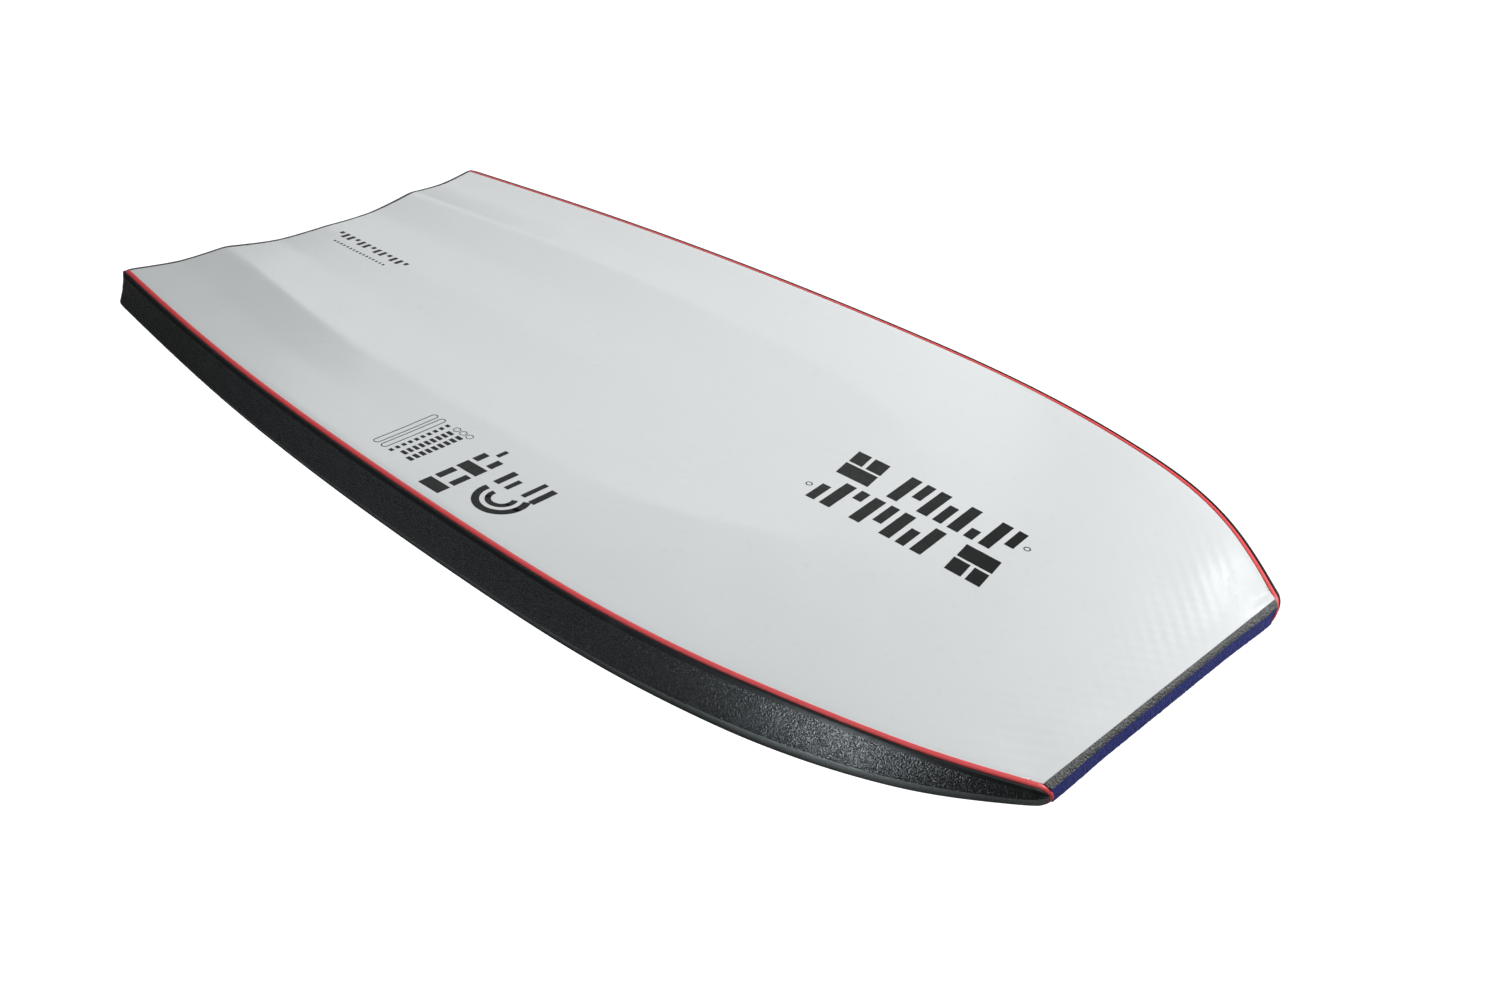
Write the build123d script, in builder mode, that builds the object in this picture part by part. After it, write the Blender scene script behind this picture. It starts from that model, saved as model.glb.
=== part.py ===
from build123d import *

import math
import os

import numpy as np

# Bodyboard, built as the laminated foam sandwich that it is.
#
# The board lies on its deck, with the slick (the hard running surface) up. X runs across the board,
# Y runs from the nose (-Y) to the tail (+Y), and Z = 0 is the flat of the deck. The origin is on the
# centreline, half way along. Millimetres. A station is a distance from the nose edge of the slick.

# ---- Overall shape ------------------------------------------------------------------------------
LENGTH = 1041.0  # the slick, from its nose edge to the tail tips: a 41 inch board
CRESCENT_DEPTH = 25.0  # how far the middle of the tail is cut in from the tips
CHINE_HEIGHT = 23.0  # the widest line of the rail, above the deck
NOSE_LIFT = 7.0  # how far the deck has risen off its flat at the nose
NOSE_LIFT_START = 170.0  # station where that rise begins
TAIL_CORNER_REACH = 4.0  # how far the rails' corners would pass the slick's tips, if left sharp
TAIL_CORNER_RADIUS = 11.0

# Smooth curves along the length, each through a few (station, value) points
SLICK_HALF_WIDTH = [
    (0, 163.5), (62, 204.5), (167, 243), (312, 266), (468, 268.5), (677, 259), (885, 237), (1041, 212),
]
SLICK_HEIGHT = [(0, 33), (83, 49.5), (208, 56.5), (416, 57.5), (729, 55.5), (1041, 52)]
RAIL_FLARE = [(0, 10), (150, 14.5), (400, 16), (1041, 16)]  # slick edge out to the chine's corner
CHINE_INSET = [(0, 12), (150, 17), (400, 18), (1041, 16)]  # chine's corner in to the deck's edge
RIDGE_POSITION = [(303, 95), (393, 137), (535, 152), (670, 152), (800, 145), (920, 130), (1041, 115)]

# ---- Relief of the slick, against the height of its edges ---------------------------------------
SPOON_DROP = 2.2  # the centreline of the long shallow spoon
SPOON_RIM = 0.6
SPOON_START, SPOON_FULL = 235.0, 400.0
RIDGE_RISE = 2.9  # what the tail adds to the rim to make the two ridges
CENTRE_CHANNEL = 3.5
SIDE_CHANNEL = 3.0
CHANNELS_START, CHANNELS_FULL = 450.0, 1010.0

# ---- Layers -------------------------------------------------------------------------------------
GLUE = 0.1  # glue line between neighbouring layers
SLICK_SKIN = 0.8
SLICK_MESH = 0.6
SLICK_BACKING = 2.4
DECK_SKIN = 3.0
RAIL_INNER = 4.6
RAIL_OUTER = 3.0
TAIL_STRIP = 3.0

# ---- Rail, nose and stringer --------------------------------------------------------------------
PINLINE_DROP = 1.2  # the exposed edge of the inner rail slopes down this much
BEVEL_OUT, BEVEL_DROP = 3.4, 3.8  # the smooth bevel at the top of the outer rail
NOSE_BEVEL = 5.0  # the nose bulb's exposed bevel, at 45 degrees
NOSE_FRONT_HEIGHT = 9.5  # the upright part of the wrapped deck skin
NOSE_BLOCK = 16.0  # station where the nose bulb ends and the core begins
STRINGER_RADIUS = 6.0
STRINGER_BORE = 4.8
STRINGER_CLEARANCE = 0.15
STRINGER_HEIGHT = 27.0
STRINGER_START, STRINGER_END = 130.0, 960.0
CAP_FLANGE, CAP_SPIGOT = 4.0, 14.0
CAP_EDGE_RADIUS = 1.0
PLUG_GAP = 2.0

# ---- Construction -------------------------------------------------------------------------------
TAIL_END = 1042.4  # station of the rails' rounded corners, the furthest back
MIDDLE = (TAIL_END - NOSE_BEVEL) / 2  # station of the origin
STATIONS = [-12, 0, 12, 25, 40, 60, 80, 105, 130, 165, 200, 240, 285, 335]
STATIONS += [390, 450, 520, 590, 660, 730, 800, 860, 920, 980, 1060]
POINTS_PER_CHANNEL = 3
ROUND = 0.55  # a Bezier handle this long turns a quarter circle
REACH = 400.0  # wider than half the board
TALL = 150.0  # taller than the board


def smooth_curve(points):
    """A natural cubic spline through (station, value) points, as a function of the station."""
    x, y = np.array(points, float).T
    step = np.diff(x)
    size = len(x)
    matrix = np.eye(size)
    change = np.zeros(size)
    for i in range(1, size - 1):
        matrix[i, i - 1 : i + 2] = step[i - 1], 2 * (step[i - 1] + step[i]), step[i]
        change[i] = 6 * ((y[i + 1] - y[i]) / step[i] - (y[i] - y[i - 1]) / step[i - 1])
    bend = np.linalg.solve(matrix, change)

    def value(s):
        i = min(max(int(np.searchsorted(x, s)) - 1, 0), size - 2)
        a = (x[i + 1] - s) / step[i]
        b = (s - x[i]) / step[i]
        bow = (a**3 - a) * bend[i] + (b**3 - b) * bend[i + 1]
        return float(a * y[i] + b * y[i + 1] + bow * step[i] ** 2 / 6)

    return value


half_width = smooth_curve(SLICK_HALF_WIDTH)
edge_height = smooth_curve(SLICK_HEIGHT)
flare = smooth_curve(RAIL_FLARE)
chine_inset = smooth_curve(CHINE_INSET)
ridge_curve = smooth_curve(RIDGE_POSITION)


def ease(value, start, end):
    """0 before start, 1 after end, and a smooth rise between them."""
    t = min(1.0, max(0.0, (value - start) / (end - start)))
    return t * t * (3 - 2 * t)


def at(station):
    """The Y of a station."""
    return station - MIDDLE


def section_plane(station):
    """The plane across the board at a station, with X across and Y up."""
    return Plane.XZ.offset(-at(station))


def stringer_plane(station):
    """The plane across the stringer at a station, facing the tail."""
    return Plane((0, at(station), STRINGER_HEIGHT), x_dir=(-1, 0, 0), z_dir=(0, 1, 0))


def deck_height(s):
    """Height of the deck's outer face: flat, with a gentle rise to the nose."""
    t = max(0.0, (NOSE_LIFT_START - s) / NOSE_LIFT_START)
    return NOSE_LIFT * t * t


def ridge_position(s):
    """Distance of the two ridges from the centreline."""
    return ridge_curve(max(s, RIDGE_POSITION[0][0]))


def relief(x, s):
    """Height of the slick over its edges: a centre spoon that turns into four channels at the tail."""
    spoon = ease(s, SPOON_START, SPOON_FULL)
    tail = ease(s, CHANNELS_START, CHANNELS_FULL)
    ridge = ridge_position(s)
    rim = SPOON_RIM * spoon + RIDGE_RISE * tail
    if abs(x) < ridge:
        t = abs(x) / ridge
        rise = t * tail + t * t * (1 - tail)
        return rim * rise - SPOON_DROP * spoon * (1 - rise) - CENTRE_CHANNEL * tail * 4 * t * (1 - t)
    t = (abs(x) - ridge) / (half_width(s) - ridge)
    return rim * (1 - t) - SIDE_CHANNEL * tail * 4 * t * (1 - t)


def rail_corners(s):
    """The rail's corners on the +X side at a station, as (x, z), from the slick's edge outwards."""
    slant = math.hypot(1, half_width(s + 1) - half_width(s))
    edge = half_width(s) + GLUE
    top = edge_height(s)
    outside = edge + flare(s) * slant
    joint = outside - RAIL_OUTER * slant
    deck_edge = outside - chine_inset(s) * slant
    pinline = edge + RAIL_INNER * slant
    return {
        "edge": (edge, top),
        "pinline": (pinline, top - PINLINE_DROP),
        "bevel": (pinline + BEVEL_OUT * slant, top - PINLINE_DROP - BEVEL_DROP),
        "outside": (outside, CHINE_HEIGHT),
        "joint": (joint, CHINE_HEIGHT),
        "inside": (joint - RAIL_INNER * slant, CHINE_HEIGHT),
        "deck_edge": (deck_edge, deck_height(s)),
        "foot_joint": (deck_edge - RAIL_OUTER * slant, deck_height(s)),
        "foot_inside": (deck_edge - (RAIL_OUTER + RAIL_INNER) * slant, deck_height(s)),
    }


def along(start, end, z):
    """The x at height z on the straight line from start to end."""
    return start[0] + (end[0] - start[0]) * (z - start[1]) / (end[1] - start[1])


def slick_line(s, drop):
    """Points across the board, `drop` below the slick, from one edge of it to the other."""
    ridge, width = ridge_position(s), half_width(s)
    inner = [ridge * i / POINTS_PER_CHANNEL for i in range(POINTS_PER_CHANNEL)]
    outer = [ridge + (width - ridge) * i / POINTS_PER_CHANNEL for i in range(POINTS_PER_CHANNEL + 1)]
    half = [(x, edge_height(s) + relief(x, s) - drop) for x in inner + outer]
    return [(-x, z) for x, z in reversed(half[1:])] + half


def inner_rail_section(s):
    """The inner rail layer, from the slick to the deck: its edges are the pinlines round both faces."""
    rail = rail_corners(s)
    return [rail[name] for name in ("edge", "pinline", "joint", "foot_joint", "foot_inside", "inside")]


def outer_rail_section(s):
    """The outer rail layer: a narrow smooth bevel, then the wide face that flares out to the chine."""
    rail = rail_corners(s)
    top, foot = rail["pinline"], rail["joint"]
    return [(top[0] + GLUE, top[1]), rail["bevel"], rail["outside"], (foot[0] + GLUE, foot[1])]


def chine_section(s):
    """The strip under the outer rail, which slopes back in from the widest line to the deck."""
    rail = rail_corners(s)
    outer, top, foot = rail["outside"], rail["joint"], rail["foot_joint"]
    return [
        (outer[0], outer[1] - GLUE),
        rail["deck_edge"],
        (foot[0] + GLUE, foot[1]),
        (top[0] + GLUE, top[1] - GLUE),
    ]


# ---- Building blocks, each used inside a part ---------------------------------------------------
def loft_strip(section, side):
    """Loft a strip along one edge of the board: side is 1 for +X and -1 for -X."""
    sections = []
    for s in STATIONS:
        with BuildSketch(section_plane(s)) as slice_of_strip:
            with BuildLine():
                Polyline(*[(side * x, z) for x, z in section(s)], close=True)
            make_face()
        sections.append(slice_of_strip.sketch)
    loft(sections, ruled=True)


def loft_sheet(drop, thickness):
    """Loft a thin layer that follows the slick, `drop` below it."""
    sections = []
    for s in STATIONS:
        upper = slick_line(s, drop)
        lower = slick_line(s, drop + thickness)
        with BuildSketch(section_plane(s)) as slice_of_sheet:
            with BuildLine():
                Spline(*upper)
                Line(upper[-1], lower[-1])
                Spline(*reversed(lower))
                Line(lower[0], upper[0])
            make_face()
        sections.append(slice_of_sheet.sketch)
    loft(sections, ruled=True)


def loft_between_rails(drop, lift):
    """Loft what lies between the two rails, from `lift` over the deck to `drop` below the slick."""
    sections = []
    for s in STATIONS:
        rail = rail_corners(s)
        foot_z = deck_height(s) + lift
        right = [
            (half_width(s), edge_height(s) - drop),
            (rail["inside"][0] - GLUE, CHINE_HEIGHT),
            (along(rail["inside"], rail["foot_inside"], foot_z) - GLUE, foot_z),
        ]
        left = [(-x, z) for x, z in reversed(right)]
        with BuildSketch(section_plane(s)) as slice_of_filling:
            with BuildLine():
                Spline(*slick_line(s, drop))
                Polyline(*right, *left)
            make_face()
        sections.append(slice_of_filling.sketch)
    loft(sections, ruled=True)


def crescent(front, tail_gap, mode):
    """Keep or cut what lies behind the station `front` and `tail_gap` ahead of the crescent tail."""
    tip = rail_corners(LENGTH)["outside"][0]
    widening = rail_corners(LENGTH - 1)["outside"][0] - tip
    wide = tip + widening * (LENGTH - front)
    tip_y = at(LENGTH + TAIL_CORNER_REACH) - tail_gap
    middle_y = at(LENGTH - CRESCENT_DEPTH) - tail_gap
    with BuildSketch(Plane.XY.offset(-TALL / 2)) as plan:
        with BuildLine():
            ThreePointArc((-tip, tip_y), (0, middle_y), (tip, tip_y))
            Polyline((tip, tip_y), (wide, at(front)), (-wide, at(front)), (-tip, tip_y))
        make_face()
        fillet(vertices().sort_by(Axis.Y)[-2:], TAIL_CORNER_RADIUS)
    extrude(plan.sketch, amount=TALL, mode=mode)


def side_view(inset, lip):
    """The board's side view, `inset` inside the deck skin's face and open above the nose bevel.

    `lip` is the gap left over the skin's top edge, where the bevel starts.
    """
    front, bevel_foot = -NOSE_BEVEL, edge_height(0) - NOSE_BEVEL
    upright_foot = bevel_foot - NOSE_FRONT_HEIGHT
    roll_end = front + upright_foot - deck_height(0)
    face = at(front) + inset
    foot = deck_height(roll_end) + inset
    ledge = [(face, bevel_foot + lip)] if inset > lip else []
    with BuildSketch(Plane.YZ) as view:
        with BuildLine():
            Polyline(
                (at(LENGTH) + TALL, inset),
                (at(LENGTH) + TALL, TALL),
                (at(TALL - edge_height(0)), TALL),
                (at(front) + lip, bevel_foot + lip),
                *ledge,
                (face, upright_foot),
            )
            Bezier(
                (face, upright_foot),
                (face, upright_foot - ROUND * (upright_foot - foot)),
                (at(roll_end) - ROUND * (at(roll_end) - face), foot),
                (at(roll_end), foot),
            )
            Bezier(
                (at(roll_end), foot),
                (at((roll_end + NOSE_LIFT_START) / 2), inset),
                (at(NOSE_LIFT_START), inset),
            )
            Line((at(NOSE_LIFT_START), inset), (at(LENGTH) + TALL, inset))
        make_face()
    return view.sketch


def round_nose():
    """Keep only what lies inside the board's side view."""
    extrude(side_view(0, 0), amount=REACH, both=True, mode=Mode.INTERSECT)


def finish(piece, name):
    """Label a finished piece and write its file."""
    piece.part.label = name
    export_step(piece.part, f"parts/{name}.step")


os.makedirs("parts", exist_ok=True)
slick_stack = SLICK_SKIN + SLICK_MESH + SLICK_BACKING + 2 * GLUE  # from the slick to the core's glue line

# ---- Slick: skin, mesh and foam backing ---------------------------------------------------------
with BuildPart() as slick_skin:
    loft_sheet(0, SLICK_SKIN)
    crescent(0, TAIL_STRIP + GLUE, Mode.INTERSECT)
finish(slick_skin, "slick_skin")

with BuildPart() as slick_mesh:
    loft_sheet(SLICK_SKIN + GLUE, SLICK_MESH)
    crescent(0, TAIL_STRIP + GLUE, Mode.INTERSECT)
finish(slick_mesh, "slick_mesh")

with BuildPart() as slick_backing:
    loft_sheet(SLICK_SKIN + SLICK_MESH + 2 * GLUE, SLICK_BACKING)
    crescent(0, TAIL_STRIP + GLUE, Mode.INTERSECT)
finish(slick_backing, "slick_backing")

# ---- Core, bored from the tail for the stringer -------------------------------------------------
with BuildPart() as core:
    loft_between_rails(slick_stack + GLUE, DECK_SKIN + GLUE)
    crescent(NOSE_BLOCK + GLUE, TAIL_STRIP + GLUE, Mode.INTERSECT)
    with BuildSketch(stringer_plane(STRINGER_START - CAP_FLANGE)):
        Circle(STRINGER_RADIUS + STRINGER_CLEARANCE)
    extrude(amount=LENGTH, mode=Mode.SUBTRACT)
finish(core, "core")

# ---- Stringer: a carbon tube, its two end caps and the foam plug that closes the bore -----------
with BuildPart() as stringer_tube:
    with BuildSketch(stringer_plane(STRINGER_START)):
        Circle(STRINGER_RADIUS)
        Circle(STRINGER_BORE, mode=Mode.SUBTRACT)
    extrude(amount=STRINGER_END - STRINGER_START)
finish(stringer_tube, "stringer_tube")

with BuildPart() as stringer_caps:
    for s, inward in ((STRINGER_START, 1), (STRINGER_END, -1)):
        with BuildSketch(stringer_plane(s)):
            Circle(STRINGER_RADIUS)
        extrude(amount=-inward * (CAP_FLANGE - GLUE))
        with BuildSketch(stringer_plane(s)):
            Circle(STRINGER_BORE - GLUE)
        extrude(amount=inward * CAP_SPIGOT)
    fillet(edges().filter_by(GeomType.CIRCLE).group_by(Axis.Y)[0], CAP_EDGE_RADIUS)
    fillet(edges().filter_by(GeomType.CIRCLE).group_by(Axis.Y)[-1], CAP_EDGE_RADIUS)
finish(stringer_caps, "stringer_caps")

with BuildPart() as bore_plug:
    with BuildSketch(stringer_plane(STRINGER_END + CAP_FLANGE + PLUG_GAP)):
        Circle(STRINGER_RADIUS)
    extrude(amount=LENGTH)
    crescent(0, TAIL_STRIP + GLUE, Mode.INTERSECT)
finish(bore_plug, "bore_plug")

# ---- Deck skin, wrapped up over the front of the nose -------------------------------------------
with BuildPart() as deck_skin:
    loft_between_rails(0, -DECK_SKIN)
    round_nose()
    extrude(side_view(DECK_SKIN, 0), amount=REACH, both=True, mode=Mode.SUBTRACT)
    crescent(-NOSE_BLOCK, TAIL_STRIP + GLUE, Mode.INTERSECT)
finish(deck_skin, "deck_skin")

# ---- Nose bulb, whose bevel shows between the slick and the wrapped deck skin -------------------
with BuildPart() as nose_bulb:
    loft_between_rails(0, -DECK_SKIN)
    extrude(side_view(DECK_SKIN + GLUE, GLUE), amount=REACH, both=True, mode=Mode.INTERSECT)
    under_slick = [(at(s), edge_height(s) - slick_stack - GLUE) for s in (NOSE_BLOCK, NOSE_BLOCK / 2, -GLUE)]
    with BuildSketch(Plane.YZ):
        with BuildLine():
            Polyline(
                (at(-NOSE_BLOCK), -TALL),
                (at(NOSE_BLOCK), -TALL),
                *under_slick,
                (at(-GLUE), TALL),
                (at(-NOSE_BLOCK), TALL),
                close=True,
            )
        make_face()
    extrude(amount=REACH, both=True, mode=Mode.INTERSECT)
finish(nose_bulb, "nose_bulb")

# ---- Tail strip, which closes the crescent end between the rails --------------------------------
with BuildPart() as tail_strip:
    loft_between_rails(0, 0)
    crescent(NOSE_BLOCK, 0, Mode.INTERSECT)
    crescent(0, TAIL_STRIP, Mode.SUBTRACT)
finish(tail_strip, "tail_strip")

# ---- Rails. Right and left are a rider's, lying on the deck with the slick below ----------------
for side, hand in ((1, "right"), (-1, "left")):
    with BuildPart() as rail_inner:
        loft_strip(inner_rail_section, side)
        round_nose()
        crescent(-NOSE_BLOCK, 0, Mode.INTERSECT)
    finish(rail_inner, f"rail_inner_{hand}")

    with BuildPart() as rail_outer:
        loft_strip(outer_rail_section, side)
        round_nose()
        crescent(-NOSE_BLOCK, 0, Mode.INTERSECT)
    finish(rail_outer, f"rail_outer_{hand}")

    with BuildPart() as chine:
        loft_strip(chine_section, side)
        round_nose()
        crescent(-NOSE_BLOCK, 0, Mode.INTERSECT)
    finish(chine, f"chine_{hand}")
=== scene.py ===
"""Looks for the bodyboard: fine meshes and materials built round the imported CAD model.

The board lies on its deck with the slick up: X across, the nose at -Y, metres. A station is a distance
from the slick's nose edge. Outlines are read off the CAD nodes; only surface relief, rounding and finish
are added here.
"""

import math

import bmesh
import bpy
import numpy as np
from mathutils import Matrix, Vector


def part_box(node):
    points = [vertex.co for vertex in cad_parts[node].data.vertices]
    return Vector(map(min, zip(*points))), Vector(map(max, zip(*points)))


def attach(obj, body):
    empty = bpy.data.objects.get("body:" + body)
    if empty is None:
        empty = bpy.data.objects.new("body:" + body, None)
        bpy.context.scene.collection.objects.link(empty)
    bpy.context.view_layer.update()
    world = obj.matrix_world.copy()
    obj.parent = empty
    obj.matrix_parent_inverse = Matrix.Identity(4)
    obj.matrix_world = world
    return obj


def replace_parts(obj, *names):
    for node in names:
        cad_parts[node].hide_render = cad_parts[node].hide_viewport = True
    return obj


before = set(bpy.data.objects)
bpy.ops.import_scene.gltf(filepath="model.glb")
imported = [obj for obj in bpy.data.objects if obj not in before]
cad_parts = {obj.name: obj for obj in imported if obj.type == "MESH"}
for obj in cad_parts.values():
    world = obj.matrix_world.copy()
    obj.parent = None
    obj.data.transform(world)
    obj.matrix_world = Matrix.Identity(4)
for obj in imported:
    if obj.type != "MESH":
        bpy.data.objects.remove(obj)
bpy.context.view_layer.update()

MM = 0.001

# ---- Relief of the slick, against the height of its edges ---------------------------------------
# A shallow centre spoon runs into four channels at the tail: two inside the ridges, one outside each
SPOON_DROP = 2.2 * MM
SPOON_RIM = 0.6 * MM
SPOON_START, SPOON_FULL = 235 * MM, 400 * MM
RIDGE_RISE = 2.9 * MM
CENTRE_CHANNEL = 3.5 * MM
SIDE_CHANNEL = 3.0 * MM
CHANNELS_START, CHANNELS_FULL = 450 * MM, 1010 * MM
CHANNEL_POWER = 1.35
# The ridges are rounded by a mean over points this far apart, with these shares
RIDGE_ROUND = 5 * MM
SOFTENING = [(-1, 0.25), (0, 0.5), (1, 0.25)]
# Station of a point on a ridge, and its distance from the centreline, in mm
RIDGE_POSITION = [(303, 95), (393, 137), (535, 152), (670, 152), (800, 145), (920, 130), (1041, 115)]

# ---- Surface detail -----------------------------------------------------------------------------
DIMPLE_PITCH = 15.5 * MM
DIMPLE_FAINT, DIMPLE_STRONG = 0.05 * MM, 0.12 * MM
DIMPLE_FADE_START, DIMPLE_FADE_END = 40 * MM, 260 * MM
WAVE_HEIGHT = 0.22 * MM
WAVE_COUNT = 14
EDGE_DROP, EDGE_RADIUS = 0.35 * MM, 5 * MM
SLICK_GRID = 2.8 * MM
SLICK_THICKNESS = 0.8 * MM
PEBBLE_GRID = 1.6 * MM
BAND_THICKNESS = 2.4 * MM
# Stations between which the rail closes to its nose tip
TIP_START, TIP_END = 2.4 * MM, -5.4 * MM
# Where the tip lies between the pinline, 0, and the foot, 1
TIP_SHARE = 0.4
TAIL_CORNER = 10 * MM
# The rail's foot and widest line rise toward the nose, and the tip is drawn in
FOOT_LIFT, WIDE_LIFT = 3.5 * MM, 1.5 * MM
LIFT_START, LIFT_END = 90 * MM, 215 * MM
TIP_PULL, TIP_PULL_START = 3.0 * MM, 12 * MM
# The slick turns down beside the rails near the nose, and dips at the nose corners
NOSE_FULLNESS = 0.6 * MM
EDGE_ROLL, EDGE_ROLL_WIDTH = 0.9 * MM, 30 * MM
DENT_DEPTH, DENT_RADIUS, DENT_X, DENT_S = 0.9 * MM, 16 * MM, 149 * MM, 20 * MM
# The two together go no lower than this, so that the film stays over the mesh under it
LOWEST = 0.95 * MM
# The dimples are a little deeper round the nose corners
CORNER_REACH, CORNER_GAIN = 35 * MM, 0.3
# Stations of the slick's tail corner, of the row of heights just inside it and of the rail's end
SLICK_END, LAST_ROW, RAIL_END = 1.037, 1.036, 1.04
# Distance from the centreline at which the red foam meets the tail
TAIL_HALF_WIDTH = 0.2165


# ---- Reading the CAD ----------------------------------------------------------------------------
def node_arrays(name):
    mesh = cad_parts[name].data
    points = np.zeros(len(mesh.vertices) * 3)
    mesh.vertices.foreach_get("co", points)
    edges = np.zeros(len(mesh.edges) * 2, int)
    mesh.edges.foreach_get("vertices", edges)
    return points.reshape(-1, 3), edges.reshape(-1, 2)


ARRAYS = {name: node_arrays(name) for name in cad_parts}
NOSE_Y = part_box("slick_skin")[0].y
TAIL_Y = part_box("rail_outer_right")[1].y
# Stations where the CAD's outline is read: the ones its own sections stand on, where it is exact
READ_AT = [12, 25, 40, 60, 80, 105, 130, 165, 200, 240, 285, 335]
READ_AT += [390, 450, 520, 590, 660, 730, 800, 860, 920, 980, 1030]
JUST_PAST = 0.02 * MM


def cut(name, station):
    """Points (x, z) where a CAD node's edges cross the plane at a station, on the +X side."""
    points, edges = ARRAYS[name]
    y = NOSE_Y + station + JUST_PAST
    a, b = points[edges[:, 0]], points[edges[:, 1]]
    hit = (a[:, 1] - y) * (b[:, 1] - y) < 0
    a, b = a[hit], b[hit]
    t = (y - a[:, 1]) / (b[:, 1] - a[:, 1])
    found = a + (b - a) * t[:, None]
    return found[found[:, 0] > 0][:, [0, 2]]


class Curve:
    """A natural cubic spline through points, on arrays; the values may be vectors."""

    def __init__(self, x, y):
        self.x, self.y = np.array(x, float), np.array(y, float)
        step = np.diff(self.x)
        size = len(self.x)
        matrix = np.eye(size)
        change = np.zeros(self.y.shape)
        slope = np.diff(self.y, axis=0) / (step[:, None] if self.y.ndim > 1 else step)
        for i in range(1, size - 1):
            matrix[i, i - 1 : i + 2] = step[i - 1], 2 * (step[i - 1] + step[i]), step[i]
            change[i] = 6 * (slope[i] - slope[i - 1])
        self.bend = np.linalg.solve(matrix, change)

    def __call__(self, s):
        s = np.asarray(s, float)
        i = np.clip(np.searchsorted(self.x, s) - 1, 0, len(self.x) - 2)
        step = self.x[i + 1] - self.x[i]
        a, b = (self.x[i + 1] - s) / step, (s - self.x[i]) / step
        pa, pb = (a**3 - a) * step**2 / 6, (b**3 - b) * step**2 / 6
        if self.y.ndim > 1:
            a, b, pa, pb = (q[..., None] for q in (a, b, pa, pb))
        return a * self.y[i] + b * self.y[i + 1] + pa * self.bend[i] + pb * self.bend[i + 1]


class NoseShaped:
    """A rail corner's curve, lifted and drawn in near the nose, where the rail closes to its tip."""

    def __init__(self, curve, lift):
        self.curve, self.lift = curve, lift

    def __call__(self, s):
        s = np.asarray(s, float)
        value = np.array(self.curve(s))
        value[..., 1] += self.lift * (1 - ease(s, LIFT_START, LIFT_END))
        share = np.clip((TIP_PULL_START - s) / (TIP_PULL_START - TIP_END), 0, 1)
        value[..., 0] -= TIP_PULL * share**2
        return value


def read_rail():
    """Curves of the right rail's corners, (x, z) against the station, off the CAD's rail nodes."""
    corners = {name: [] for name in ("edge", "pinline", "bevel", "outside", "foot", "inside", "deck_inside")}
    for station in READ_AT:
        inner, outer = cut("rail_inner_right", station * MM), cut("rail_outer_right", station * MM)
        chine = cut("chine_right", station * MM)
        top, wide = outer[outer[:, 1].argmax()], outer[outer[:, 0].argmax()]
        across = np.array([-(wide - top)[1], (wide - top)[0]])
        bottom = chine[chine[:, 1] < chine[:, 1].min() + 0.1 * MM]
        inner_foot = inner[inner[:, 1] < inner[:, 1].min() + 0.1 * MM]
        waist = inner[abs(inner[:, 1] - wide[1]) < 0.2 * MM]
        corners["edge"].append(inner[inner[:, 1].argmax()])
        corners["pinline"].append(top)
        corners["bevel"].append(outer[((outer - top) @ across).argmax()])
        corners["outside"].append(wide)
        corners["foot"].append(bottom[bottom[:, 0].argmax()])
        corners["inside"].append(waist[waist[:, 0].argmin()])
        corners["deck_inside"].append(inner_foot[inner_foot[:, 0].argmin()])
    stations = np.array(READ_AT) * MM
    curves = {name: Curve(stations, values) for name, values in corners.items()}
    lifts = {"foot": FOOT_LIFT, "deck_inside": FOOT_LIFT, "outside": WIDE_LIFT, "inside": WIDE_LIFT}
    for name, lift in lifts.items():
        curves[name] = NoseShaped(curves[name], lift)
    return curves


rail = read_rail()


def slick_half_width(s):
    return rail["edge"](s)[..., 0] - 0.1 * MM


def edge_height(s):
    return rail["edge"](s)[..., 1]


def tail_circle():
    """Centre station and radius of the crescent, off the back of the CAD's tail strip."""
    points = ARRAYS["tail_strip"][0]
    back = points[(points[:, 1] > 0) & (abs(points[:, 0]) < 0.2)]
    places = []
    for x in (0.0, 0.18):
        near = back[abs(abs(back[:, 0]) - x) < 0.02]
        places.append(near[near[:, 1].argmax()])
    (x0, y0), (x1, y1) = [(abs(p[0]), p[1]) for p in places]
    radius = ((x1**2 - x0**2) + (y1 - y0) ** 2) / (2 * (y1 - y0))
    return y0 - NOSE_Y + radius, radius


tail_centre, tail_radius = tail_circle()


def tail_station(x):
    """Station of the crescent tail's back face at a distance x from the centreline."""
    return tail_centre - np.sqrt(tail_radius**2 - np.minimum(abs(x), 0.3) ** 2)


def ease(value, start, end):
    t = np.clip((value - start) / (end - start), 0, 1)
    return t * t * (3 - 2 * t)


ridge_curve = Curve(*(np.array(RIDGE_POSITION).T * MM))


def channel(t):
    """Share of a channel's depth across its width: straight flanks and a rounded bottom."""
    return 1 - abs(2 * t - 1) ** CHANNEL_POWER


def relief(x, s):
    """Height of the slick over its edges: a centre spoon that turns into four channels at the tail."""
    spoon = ease(s, SPOON_START, SPOON_FULL)
    tail = ease(s, CHANNELS_START, CHANNELS_FULL)
    ridge = ridge_curve(np.maximum(s, RIDGE_POSITION[0][0] * MM))
    rim = SPOON_RIM * spoon + RIDGE_RISE * tail
    t = np.clip(abs(x) / ridge, 0, 1)
    rise = t * tail + t * t * (1 - tail)
    inside = rim * rise - SPOON_DROP * spoon * (1 - rise) - CENTRE_CHANNEL * tail * channel(t)
    t = np.clip((abs(x) - ridge) / (slick_half_width(s) - ridge), 0, 1)
    outside = rim * (1 - t) - SIDE_CHANNEL * tail * channel(t)
    return np.where(abs(x) < ridge, inside, outside)


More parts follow.
